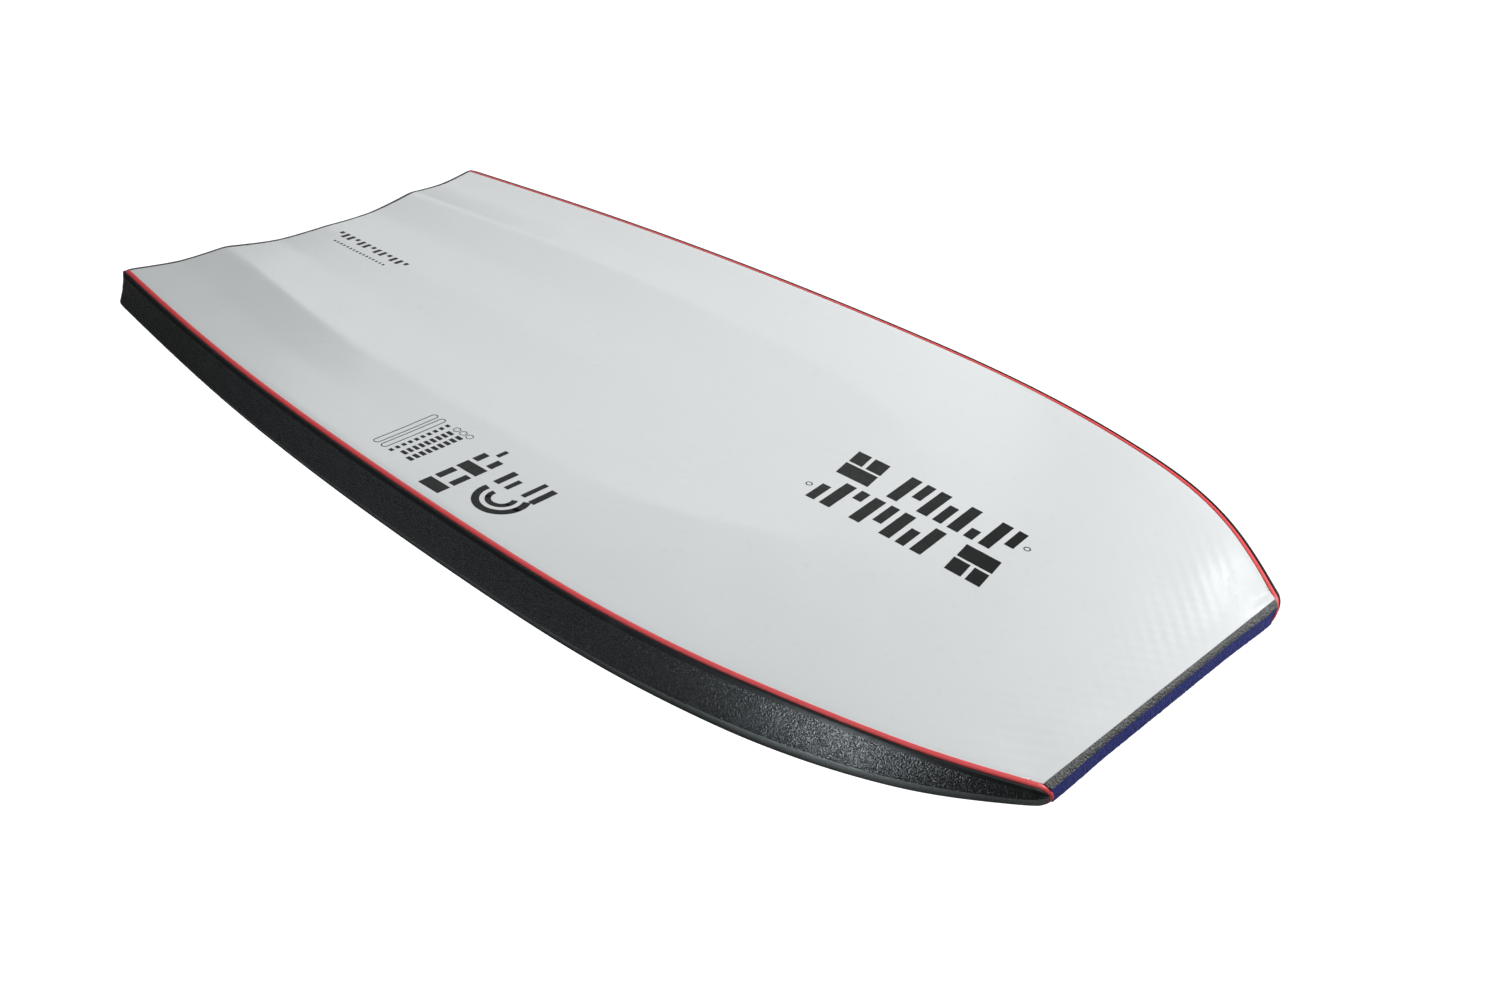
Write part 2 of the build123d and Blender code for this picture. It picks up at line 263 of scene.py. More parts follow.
def soft_relief(x, s):
    """The relief with its ridges rounded over, as a thick film rounds them."""
    return sum(share * relief(x + step * RIDGE_ROUND, s) for step, share in SOFTENING)


random_waves = np.random.default_rng(41)
WAVES = [
    (random_waves.uniform(35, 90), random_waves.uniform(0, math.pi), random_waves.uniform(0, 6.28))
    for _ in range(WAVE_COUNT)
]


def waviness(x, s):
    """A slow, irregular unevenness of the laminated film, from a few long waves."""
    height = 0
    for length, turn, phase in WAVES:
        along = x * math.cos(turn) + s * math.sin(turn)
        height = height + np.sin(2 * math.pi * along / (length * MM) + phase)
    return height / len(WAVES)


def near_corner(x, s, reach):
    """1 at a nose corner's dent, falling off to 0 around it."""
    return np.exp(-((abs(x) - DENT_X) ** 2 + (s - DENT_S) ** 2) / (2 * reach**2))


def dimples(x, s):
    """The diamond pattern of the mesh that shows through the film, strongest near the nose."""
    pattern = np.cos(2 * math.pi * x / DIMPLE_PITCH) * np.cos(2 * math.pi * s / DIMPLE_PITCH)
    strong = 1 - ease(s, DIMPLE_FADE_START, DIMPLE_FADE_END)
    strength = DIMPLE_FAINT + (DIMPLE_STRONG - DIMPLE_FAINT) * strong
    strength = strength * (1 + CORNER_GAIN * near_corner(x, s, CORNER_REACH))
    return strength * pattern


def slick_height(x, s):
    """Height of the slick's top face."""
    half = slick_half_width(s)
    rolled = EDGE_DROP * (1 - ease(half - abs(x), 0, EDGE_RADIUS))
    inner = ease(half - abs(x), 0, 25 * MM) * ease(s, 0, 15 * MM)
    soft = dimples(x, s) + WAVE_HEIGHT * waviness(x, s)
    near_nose = 1 - ease(s, 150 * MM, 320 * MM)
    turned = EDGE_ROLL * np.clip(1 - (half - abs(x)) / EDGE_ROLL_WIDTH, 0, 1) ** 2
    dent = DENT_DEPTH * near_corner(x, s, DENT_RADIUS)
    down = np.minimum(turned + dent, LOWEST) * ease(s, 0, 10 * MM)
    shaped = near_nose * (NOSE_FULLNESS * ease(s, 0, 25 * MM) - down)
    return edge_height(s) + soft_relief(x, s) - rolled + shaped + soft * (0.35 + 0.65 * inner)


# ---- Mesh helpers -------------------------------------------------------------------------------
def place(x, s, z):
    """Points in the row frame from across, station and height arrays."""
    x, s, z = np.broadcast_arrays(x, s, z)
    return np.stack([x, NOSE_Y + s, z], axis=-1)


def build(name, points, faces, materials, indices=None, smooth=True):
    mesh = bpy.data.meshes.new(name)
    mesh.from_pydata(np.asarray(points).reshape(-1, 3).tolist(), [], faces)
    for material in materials:
        mesh.materials.append(material)
    if indices is not None:
        mesh.polygons.foreach_set("material_index", indices)
    tool = bmesh.new()
    tool.from_mesh(mesh)
    bmesh.ops.remove_doubles(tool, verts=tool.verts, dist=0.005 * MM)
    bmesh.ops.recalc_face_normals(tool, faces=tool.faces)
    tool.to_mesh(mesh)
    tool.free()
    mesh.polygons.foreach_set("use_smooth", [smooth] * len(mesh.polygons))
    mesh.set_sharp_from_angle(angle=math.radians(38))
    mesh.update()
    piece = bpy.data.objects.new(name, mesh)
    bpy.context.scene.collection.objects.link(piece)
    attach(piece, "root")
    return piece


def shell_faces(rows, columns, step=1):
    """Faces of a closed shell: an outer grid, an inner one `step` times coarser, and their rim."""
    inner_rows, inner_columns = (rows - 1) // step + 1, (columns - 1) // step + 1
    base = rows * columns

    def outer(i, j):
        return i * columns + j

    def inner(i, j):
        return base + i * inner_columns + j

    faces = [
        (outer(i, j), outer(i, j + 1), outer(i + 1, j + 1), outer(i + 1, j))
        for i in range(rows - 1)
        for j in range(columns - 1)
    ]
    faces += [
        (inner(i, j), inner(i + 1, j), inner(i + 1, j + 1), inner(i, j + 1))
        for i in range(inner_rows - 1)
        for j in range(inner_columns - 1)
    ]
    for i in range(inner_rows - 1):
        for j, edge in ((0, 0), (inner_columns - 1, columns - 1)):
            run = [outer(i * step + k, edge) for k in range(step + 1)]
            faces.append((*run, inner(i + 1, j), inner(i, j)))
    for j in range(inner_columns - 1):
        for i, edge in ((0, 0), (inner_rows - 1, rows - 1)):
            run = [outer(edge, j * step + k) for k in range(step + 1)]
            faces.append((*run, inner(i, j + 1), inner(i, j)))
    return faces


def shell(name, outer, inner, materials, step=1):
    points = np.concatenate([outer.reshape(-1, 3), inner.reshape(-1, 3)])
    return build(name, points, shell_faces(*outer.shape[:2], step), materials)


def normals_of(grid):
    """Unit normals of a grid of points, by the differences along its rows and columns."""
    normal = np.cross(np.gradient(grid, axis=1), np.gradient(grid, axis=0))
    length = np.linalg.norm(normal, axis=-1, keepdims=True)
    return normal / np.maximum(length, 1e-12)


def mirrored(points, side):
    return points * np.array([side, 1, 1])


# ---- Materials ----------------------------------------------------------------------------------
class Finish:
    """A node material: a Principled shader, and short calls that add and join texture nodes."""

    def __init__(self, name, color, roughness, **inputs):
        self.material = bpy.data.materials.new(name)
        self.material.use_nodes = True
        self.tree = self.material.node_tree
        self.shader = self.tree.nodes["Principled BSDF"]
        self.shader.inputs["Base Color"].default_value = (*color, 1)
        self.shader.inputs["Roughness"].default_value = roughness
        for key, value in inputs.items():
            self.shader.inputs[key.replace("_", " ")].default_value = value
        self.place = self.add("ShaderNodeTexCoord").outputs["Object"]

    def add(self, kind, settings=None, **inputs):
        node = self.tree.nodes.new(kind)
        for key, value in (settings or {}).items():
            setattr(node, key, value)
        for key, value in inputs.items():
            self.join(value, node.inputs[key.replace("_", " ")])
        return node

    def join(self, value, socket):
        if isinstance(value, bpy.types.NodeSocket):
            self.tree.links.new(value, socket)
        else:
            socket.default_value = value

    def noise(self, size, detail=3.0, place=None, distortion=0.0):
        """Noise with features of about `size` metres."""
        node = self.add("ShaderNodeTexNoise", Vector=place or self.place, Scale=1 / size, Detail=detail)
        node.inputs["Distortion"].default_value = distortion
        return node.outputs["Fac"]

    def stretch(self, x, y, z):
        return self.add("ShaderNodeMapping", Vector=self.place, Scale=(x, y, z)).outputs["Vector"]

    def math(self, operation, a, b=0.0):
        node = self.add("ShaderNodeMath", {"operation": operation})
        self.join(a, node.inputs[0])
        self.join(b, node.inputs[1])
        return node.outputs[0]

    def span(self, value, low, high, to_low=0.0, to_high=1.0):
        node = self.add("ShaderNodeMapRange", Value=value, From_Min=low, From_Max=high, To_Min=to_low)
        node.inputs["To Max"].default_value = to_high
        return node.outputs["Result"]

    def tint(self, factor, color, other):
        """Mix from `color` to `other`."""
        node = self.add("ShaderNodeMix", {"data_type": "RGBA"})
        self.join(factor, node.inputs[0])
        for socket, value in ((node.inputs[6], color), (node.inputs[7], other)):
            self.join(value if isinstance(value, bpy.types.NodeSocket) else (*value, 1), socket)
        return node.outputs[2]

    def bump(self, height, distance, strength=1.0, below=None):
        node = self.add("ShaderNodeBump", Height=height, Distance=distance, Strength=strength)
        if below is not None:
            self.join(below, node.inputs["Normal"])
        return node.outputs["Normal"]

    def base(self, socket):
        self.join(socket, self.shader.inputs["Base Color"])

    def roughness(self, socket):
        self.join(socket, self.shader.inputs["Roughness"])

    def normal(self, socket):
        self.join(socket, self.shader.inputs["Normal"])


def scaled(color, factor):
    return tuple(min(1.0, c * factor) for c in color)


def slick_finish():
    """Glossy polymer film over a woven mesh: faint diamond relief, long rub marks and a little grime."""
    f = Finish("slick_film", (0.66, 0.70, 0.71), 0.20, IOR=1.5, Specular_IOR_Level=0.5)
    blotch = f.noise(60 * MM, 4)
    grime = f.span(f.noise(9 * MM, 6), 0.60, 0.85)
    f.base(f.tint(grime, f.tint(blotch, (0.70, 0.72, 0.72), (0.73, 0.745, 0.74)), (0.67, 0.69, 0.685)))
    rubs = f.noise(3 * MM, 5, f.stretch(6, 0.25, 1))
    worn = f.span(blotch, 0.3, 0.7, -0.02, 0.05)
    f.roughness(f.math("ADD", f.span(rubs, 0.3, 0.7, 0.17, 0.24), worn))
    u = f.add("ShaderNodeSeparateXYZ", Vector=f.place)
    waves = [f.math("COSINE", f.math("MULTIPLY", u.outputs[k], 2 * math.pi / DIMPLE_PITCH)) for k in (0, 1)]
    weave = f.math("MULTIPLY", *waves)
    soft = f.bump(weave, 0.05 * MM, 0.5)
    f.normal(f.bump(f.noise(1.2 * MM, 2), 0.02 * MM, 0.35, soft))
    return f.material


def foam_finish(name, color, roughness, pebble, depth, level=0.5, speck=0.25):
    """Heat-textured closed-cell foam: packed pebbles, a finer grain, and scuffs that are paler and duller."""
    f = Finish(name, color, roughness, IOR=1.5, Specular_IOR_Level=level)
    cells = f.add("ShaderNodeTexVoronoi", {"feature": "SMOOTH_F1"}, Vector=f.place, Scale=1 / pebble)
    cells.inputs["Smoothness"].default_value = 0.6
    swell = f.noise(pebble * 2.2, 3, distortion=0.6)
    height = f.math("ADD", f.math("MULTIPLY", cells.outputs["Distance"], -1.0), swell)
    fine = f.noise(pebble * 0.35, 2)
    scuff = f.span(f.noise(28 * MM, 7), 0.58, 0.75)
    tone = f.tint(f.noise(14 * MM, 4), scaled(color, 0.85), scaled(color, 1.2))
    tone = f.tint(f.math("MULTIPLY", scuff, speck), tone, tuple(c * 0.7 + 0.05 for c in color))
    f.base(tone)
    uneven = f.span(swell, 0.3, 0.7, roughness - 0.07, roughness + 0.07)
    f.roughness(f.math("ADD", uneven, f.math("MULTIPLY", scuff, 0.12)))
    f.normal(f.bump(fine, depth * 0.25, 0.6, f.bump(height, depth, 1.0)))
    return f.material


def smooth_foam_finish(name, color, roughness):
    """Sliced foam edge: a fine open-cell grain and small colour changes."""
    f = Finish(name, color, roughness, IOR=1.45)
    patch = f.noise(11 * MM, 4)
    cells = f.noise(0.7 * MM, 3)
    f.base(f.tint(cells, f.tint(patch, scaled(color, 0.9), scaled(color, 1.1)), scaled(color, 0.82)))
    f.roughness(f.span(cells, 0.3, 0.7, roughness - 0.06, roughness + 0.08))
    f.normal(f.bump(cells, 0.05 * MM, 0.7, f.bump(patch, 0.3 * MM, 0.4)))
    return f.material


def ink_finish():
    """Screen-printed ink: near black, a little rough, with fine pinholes."""
    f = Finish("print_ink", (0.008, 0.009, 0.009), 0.5, Specular_IOR_Level=0.2)
    pins = f.span(f.noise(0.9 * MM, 3), 0.68, 0.78)
    f.base(f.tint(pins, (0.007, 0.008, 0.008), (0.05, 0.054, 0.055)))
    f.roughness(f.span(f.noise(5 * MM, 4), 0.3, 0.7, 0.32, 0.46))
    f.normal(f.bump(f.noise(0.6 * MM, 2), 0.02 * MM, 0.4))
    return f.material


def bead_foam_finish(name, color):
    """Moulded bead foam: polygonal beads with tight seams."""
    f = Finish(name, color, 0.62)
    seams = f.add("ShaderNodeTexVoronoi", {"feature": "DISTANCE_TO_EDGE"}, Vector=f.place, Scale=1 / (4 * MM))
    seam = f.span(seams.outputs["Distance"], 0.0, 0.08)
    f.base(f.tint(seam, scaled(color, 0.8), color))
    f.roughness(f.span(f.noise(6 * MM, 3), 0.3, 0.7, 0.55, 0.7))
    f.normal(f.bump(seam, 0.15 * MM, 0.6))
    return f.material


def woven_mesh_finish():
    """Open woven polymer net, drawn as crossing yarns on the bias."""
    f = Finish("woven_net", (0.78, 0.78, 0.75), 0.5)
    turned = f.add("ShaderNodeMapping", Vector=f.place)
    turned.inputs["Rotation"].default_value = (0, 0, math.pi / 4)
    split = f.add("ShaderNodeSeparateXYZ", Vector=turned.outputs["Vector"])
    yarns = [f.math("SINE", f.math("MULTIPLY", split.outputs[k], 2 * math.pi / (3 * MM))) for k in (0, 1)]
    over = f.math("MAXIMUM", *yarns)
    f.base(f.tint(f.span(over, 0.2, 0.9), (0.42, 0.42, 0.40), (0.8, 0.8, 0.77)))
    f.roughness(f.span(f.noise(2 * MM, 3), 0.3, 0.7, 0.42, 0.6))
    f.normal(f.bump(over, 0.2 * MM, 0.8))
    return f.material


def carbon_finish():
    """Pultruded carbon tube: long fine fibres under a clear resin skin."""
    f = Finish("carbon_tube", (0.02, 0.02, 0.021), 0.3, Coat_Weight=0.5)
    fibres = f.noise(0.5 * MM, 4, f.stretch(1, 0.03, 1))
    f.base(f.tint(fibres, (0.012, 0.012, 0.013), (0.045, 0.046, 0.048)))
    f.roughness(f.span(fibres, 0.3, 0.7, 0.22, 0.42))
    f.normal(f.bump(fibres, 0.03 * MM, 0.6))
    return f.material


def moulded_finish():
    """Injection-moulded end cap: fine spark texture."""
    f = Finish("cap_plastic", (0.09, 0.09, 0.09), 0.5)
    grain = f.noise(0.4 * MM, 3)
    f.base(f.tint(grain, (0.07, 0.07, 0.07), (0.11, 0.11, 0.11)))
    f.roughness(f.span(grain, 0.3, 0.7, 0.42, 0.6))
    f.normal(f.bump(grain, 0.03 * MM, 0.6))
    return f.material


BLACK = (0.010, 0.0105, 0.0102)
DARK_BLUE = (0.006, 0.018, 0.23)
NOSE_GREY = (0.060, 0.064, 0.062)
RED = (0.82, 0.075, 0.08)
slick_film = slick_finish()
ink = ink_finish()
rail_pebble = foam_finish("rail_pebble", BLACK, 0.27, 1.25 * MM, 0.7 * MM, level=0.35)
rail_smooth = foam_finish("rail_bevel", scaled(BLACK, 0.6), 0.55, 3.0 * MM, 0.08 * MM, level=0.2)
deck_pebble = foam_finish("deck_pebble", DARK_BLUE, 0.40, 1.9 * MM, 0.9 * MM, speck=0.1)
nose_grain = foam_finish("nose_grain", NOSE_GREY, 0.5, 1.7 * MM, 0.9 * MM)
red_foam = smooth_foam_finish("pinline_foam", RED, 0.45)
# The chine faces away from every light, so its foam is given as paler than the rail's
chine_pebble = foam_finish("chine_pebble", scaled(BLACK, 9), 0.42, 1.25 * MM, 0.9 * MM)
tail_rubber = foam_finish("tail_cap_foam", (0.05, 0.055, 0.055), 0.5, 1.2 * MM, 0.2 * MM)
HIDDEN_FINISHES = {
    "core": bead_foam_finish("bead_foam", (0.86, 0.86, 0.84)),
    "bore_plug": bead_foam_finish("plug_foam", (0.80, 0.80, 0.78)),
    "slick_backing": smooth_foam_finish("backing_foam", (0.84, 0.84, 0.83), 0.6),
    "slick_mesh": woven_mesh_finish(),
    "stringer_tube": carbon_finish(),
    "stringer_caps": moulded_finish(),
}
for node, finish in HIDDEN_FINISHES.items():
    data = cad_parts[node].data
    data.materials.clear()
    data.materials.append(finish)


# ---- Slick --------------------------------------------------------------------------------------
# Depth of the tail strip, which the slick and the deck stop in front of
STRIP = 3.1 * MM
END = TAIL_Y - NOSE_Y
GREATEST_HALF_WIDTH = 0.26


def slick_grid(rows, columns):
    """Across and station of points that fan out between the nose edge and the crescent."""
    u = np.linspace(-1, 1, columns)[None, :]
    v = np.linspace(0, 1, rows)[:, None]
    end = tail_station(u * slick_half_width(SLICK_END)) - STRIP
    s = v * end
    return u * slick_half_width(s), s


def make_slick():
    """The film: a fine top face over a coarser underside."""
    coarse = 4
    rows = int(END / SLICK_GRID / coarse) * coarse + 1
    columns = int(2 * GREATEST_HALF_WIDTH / SLICK_GRID / coarse) * coarse + 1
    x, s = slick_grid(rows, columns)
    top = place(x, s, slick_height(x, s))
    x, s = x[::coarse, ::coarse], s[::coarse, ::coarse]
    below = place(x, s, slick_height(x, s) - SLICK_THICKNESS)
    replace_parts(shell("slick_film", top, below, [slick_film], coarse), "slick_skin")


# ---- Rails --------------------------------------------------------------------------------------
# Columns of the black rail's grid over its bevel, its face and its chine
RAIL_STEPS = (4, 20, 16)
WIDEST = RAIL_STEPS[0] + RAIL_STEPS[1]
RAIL_COLUMNS = sum(RAIL_STEPS) + 1
# Roundness of the nose tip's outline: 2 is an ellipse
TIP_POWER = 2.1
# The face is hollow toward the tail, and the bevel is rounded out
HOLLOW = 1.0 * MM
HOLLOW_START, HOLLOW_FULL = 0.80, 1.03
SHOULDER = 3.2 * MM
SHOULDER_TURN = (0.5, 0.95)
# Share of the rail's overhang that the rounded tail corner takes back
CORNER_TURN = 0.86
PEBBLE = 0.10 * MM
BEVEL_PEBBLE_SHARE = 0.15


def rail_section(s):
    """Sections of the black rail, (station, column, (x, z)), from the pinline to the foot."""
    corners = [rail[name](s) for name in ("pinline", "bevel", "outside", "foot")]
    columns = []
    for count, a, b in zip(RAIL_STEPS, corners, corners[1:]):
        t = (np.arange(count) / count)[None, :, None]
        columns.append(a[:, None] * (1 - t) + b[:, None] * t)
    section = np.concatenate(columns + [corners[-1][:, None]], axis=1)
    first, count = RAIL_STEPS[:2]
    t = np.arange(count) / count
    hollow = HOLLOW * 4 * t * (1 - t) * ease(s, HOLLOW_START, HOLLOW_FULL)[:, None]
    section[:, first : first + count, 0] -= hollow
    shoulder = np.sin(math.pi * np.arange(first + 1) / first) * SHOULDER
    section[:, : first + 1] += shoulder[:, None] * np.array(SHOULDER_TURN)
    for _ in range(3):
        section[:, 1:-1] = (section[:, :-2] + 2 * section[:, 1:-1] + section[:, 2:]) / 4
    return section


def tip_point(s):
    """The point every section of the black rail closes to at its nose tip."""
    return rail["pinline"](s) * (1 - TIP_SHARE) + rail["foot"](s) * TIP_SHARE


def rail_grid():
    """The black rail's outer face: a lens-shaped tip at the nose, a rounded upright corner at the tail."""
    angle = np.linspace(0, math.pi / 2, 18)
    tip = TIP_START - (TIP_START - TIP_END) * np.cos(angle) ** (2 / TIP_POWER)
    run = np.arange(TIP_START + PEBBLE_GRID, END - TAIL_CORNER, PEBBLE_GRID)
    corner = END - TAIL_CORNER + TAIL_CORNER * np.sin(np.linspace(0, math.pi / 2, 10))
    s = np.concatenate([tip, run, corner])
    section = rail_section(s)
    closed = np.clip((TIP_START - s) / (TIP_START - TIP_END), 0, 1)
    squeeze = (1 - closed**TIP_POWER) ** (1 / TIP_POWER)
    heart = tip_point(s)[:, None]
    section = heart + (section - heart) * squeeze[:, None, None]
    turn = np.clip((s - END + TAIL_CORNER) / TAIL_CORNER, 0, 1)
    overhang = np.maximum(section[..., 0] - rail["pinline"](s)[:, :1], 0)
    section[..., 0] -= overhang * CORNER_TURN * (1 - np.sqrt(1 - turn**2))[:, None]
    grid = place(section[..., 0], s[:, None], section[..., 1])
    normal = normals_of(grid)
    normal *= np.where(normal[..., :1] < 0, -1, 1)
    pebble = np.random.default_rng(7).normal(0, PEBBLE, grid.shape[:2])
    pebble[:, : RAIL_STEPS[0] + 1] *= BEVEL_PEBBLE_SHARE
    pebble[:8] = pebble[-3:] = pebble[:, -1] = 0
    return grid + normal * pebble[..., None]


def make_rail(side, name):
    """The black foam of one side: its face with the bevel, and the chine under the widest line."""
    outer = rail_grid()
    sink = np.linspace(-1, 1, RAIL_COLUMNS)[:, None] * np.array([0, 0, 1.0]) * MM
    inner = outer - np.array([BAND_THICKNESS, 0, 0]) + sink
    outer, inner = mirrored(outer, side), mirrored(inner, side)
    upper, lower = (slice(None), slice(WIDEST + 1)), (slice(None), slice(WIDEST, None))
    finishes = [rail_pebble, rail_smooth]
    face = shell("rail_face_" + name, outer[upper], inner[upper], finishes)
    smooth_bevel(face, outer)
    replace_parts(face, "rail_outer_" + name)
    chine = shell("rail_chine_" + name, outer[lower], inner[lower], [chine_pebble])
    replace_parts(chine, "chine_" + name)


def smooth_bevel(face, outer):
    """Gives the strip between the pinline and the bevel's ridge the smooth finish."""
    ridge = outer[:, RAIL_STEPS[0]]
    for polygon in face.data.polygons:
        centre = polygon.center
        row = np.searchsorted(ridge[:, 1], centre.y)
        if centre.z > ridge[min(row, len(ridge) - 1), 2] + 0.05 * MM:
            polygon.material_index = 1


PIN_TIP_WIDTH = 4.5 * MM
WOBBLE = 0.03 * MM
# Where the red sheet starts to round off toward the tip, and over what length
SHEET_ROUND, SHEET_REACH = 1.5 * MM, 5.6 * MM
# Way the red band faces at the tip, (x, y)
NOSE_TURN = (0.16, -0.987)
# Section of the red bead: share of its width from the black side, and height over its face in mm
BEAD = [(0.02, -4), (0.0, -0.7), (0.06, 0.0), (0.2, 0.4), (0.5, 0.5)]
BEAD += [(0.8, 0.25), (0.94, -0.2), (1.0, -0.9), (0.98, -4)]
# Stations of the red sheet's sections near the tip in mm, then where even steps begin
SHEET_TIP, SHEET_EVEN = [-3.2, -2.6, -1.5, 0, 2, 4, 8], 14


def pinline_path():
    """The red band from the tail, round the nose and back under: edge, direction, normal, width."""
    s = np.arange(tail_station(TAIL_HALF_WIDTH) - STRIP, TIP_START, -4 * MM)
    zero = np.zeros(len(s))

    def lift(pair, y):
        return np.stack([pair[..., 0], y, pair[..., 1]], axis=-1)

    runs = []
    for inner, outer, up in (("edge", "pinline", 1), ("deck_inside", "foot", -1)):
        a, b = rail[inner](s), rail[outer](s)
        across = lift(a - b, zero)
        width = np.linalg.norm(across, axis=1, keepdims=True)
        across /= width
        normal = np.stack([-across[:, 2], zero, across[:, 0]], axis=1)
        normal *= np.where(normal[:, 2:] * up < 0, -1, 1)
        runs.append((lift(b, NOSE_Y + s), across, normal, width))
    angle = np.linspace(0, math.pi, 33)[:, None]
    power = 2 / TIP_POWER
    along = (TIP_START - (TIP_START - TIP_END) * np.sin(angle) ** power)[:, 0]
    upper = np.cos(angle) >= 0
    heart = tip_point(along)
    side = np.where(upper, rail["pinline"](along), rail["foot"](along))
    tip = heart + (side - heart) * abs(np.cos(angle)) ** power
    forward = np.array([NOSE_TURN[1], -NOSE_TURN[0], 0])
    outward = np.array([NOSE_TURN[0], NOSE_TURN[1], 0])
    share = abs(np.cos(angle))
    ends = [np.where(upper, runs[0][k][-1], runs[1][k][-1]) for k in (1, 2, 3)]
    across = ends[0] * share + forward * np.sin(angle)
    normal = ends[1] * share + outward * np.sin(angle)
    width = ends[2] * share**2 + PIN_TIP_WIDTH * np.sin(angle) ** 2
    turn = (lift(tip, NOSE_Y + along), across, normal, width)
    parts = [runs[0], turn, [part[::-1] for part in runs[1]]]
    edge, across, normal, width = (np.concatenate([part[k] for part in parts]) for k in range(4))
    across /= np.linalg.norm(across, axis=1, keepdims=True)
    normal /= np.linalg.norm(normal, axis=1, keepdims=True)
    return edge, across, normal, width


def ring_faces(rows, columns, start=0):
    """Faces of a closed tube with flat ends, from rows of points that each go round its section."""
    last = start + (rows - 1) * columns
    faces = [tuple(end + j for j in range(columns)) for end in (start, last)]
    for i in range(rows - 1):
        for j in range(columns):
            a, b = start + i * columns + j, start + i * columns + (j + 1) % columns
            faces.append((a, b, b + columns, a + columns))
    return faces


def make_pinline(side, name):
    """The red foam of one side: the bead that shows, and the sheet between core and rail."""
    edge, across, normal, width = pinline_path()
    bead = np.stack([edge + across * width * o + normal * n * MM for o, n in BEAD], axis=1)
    wobble = np.random.default_rng(11).normal(0, WOBBLE, bead.shape)
    bead = bead + wobble
    sheet_end = (tail_station(TAIL_HALF_WIDTH) - STRIP) / MM
    s = np.concatenate([SHEET_TIP, np.linspace(SHEET_EVEN, sheet_end, 160)]) * MM
    shifts = (
        ("edge", 0.1, -0.8),
        ("inside", 0, 0),
        ("deck_inside", 0, 0.5),
        ("foot", -0.3, 0.5),
        ("outside", -2.7, 0),
        ("pinline", -0.2, -0.8),
    )
    corners = [rail[corner](s) + np.array([dx, dz]) * MM for corner, dx, dz in shifts]
    sheet = np.stack(corners, axis=1)
    heart = (rail["inside"](s) + rail["outside"](s))[:, None] / 2
    shrink = np.sqrt(1 - np.clip((SHEET_ROUND - s) / SHEET_REACH, 0, 1) ** 2)[:, None, None]
    sheet = heart + (sheet - heart) * shrink
    sheet = place(sheet[..., 0], s[:, None], sheet[..., 1])
    points = mirrored(np.concatenate([bead.reshape(-1, 3), sheet.reshape(-1, 3)]), side)
    start = bead.shape[0] * bead.shape[1]
    faces = ring_faces(*bead.shape[:2]) + ring_faces(*sheet.shape[:2], start=start)
    piece = build("pinline_" + name, points, faces, [red_foam])
    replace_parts(piece, "rail_inner_" + name)


# ---- Nose, deck and tail ------------------------------------------------------------------------
# Height at which the blue front starts to roll under, and the station where the roll ends
FRONT_LOW = 15.0 * MM
ROLL_END = 6.5 * MM
# The grey strip's drop, and how much further it stands out at the corners
BEVEL_DROP = 3.9 * MM
FLARE = 1.4 * MM
FLARE_START, FLARE_FULL = 80 * MM, 150 * MM
STRIP_BULGE = 0.4 * MM
BELLY_DROP, BELLY_START, BELLY_FULL = 0.9 * MM, 6 * MM, 16 * MM
# How far the deck laps over the red foam's foot near the nose
DECK_LAP = 1.0 * MM
# Half widths where the nose meets the red sheet: at the slick, at the grey strip's foot, and
# where the front turns under
WRAP_TOP, WRAP_STRIP, WRAP_LOW = 163.4 * MM, 160.5 * MM, 155.8 * MM
# Behind this station the deck's rows bend to follow the crescent
CRESCENT_START = 0.3
DECK_PEBBLE, NOSE_PEBBLE = 0.12 * MM, 0.10 * MM


def bevel_front(x):
    """How far ahead of the slick the grey strip's lower edge stands; it grows at the corners."""
    return BEVEL_DROP + FLARE * ease(abs(x), FLARE_START, FLARE_FULL)


def belly_height(s):
    """Height of the deck between the rails: under the core, a little lower than the rails' feet."""
    lift = FOOT_LIFT - BELLY_DROP * ease(s, BELLY_START, BELLY_FULL)
    return rail["foot"].curve(s)[..., 1] + lift * (1 - ease(s, LIFT_START, LIFT_END))


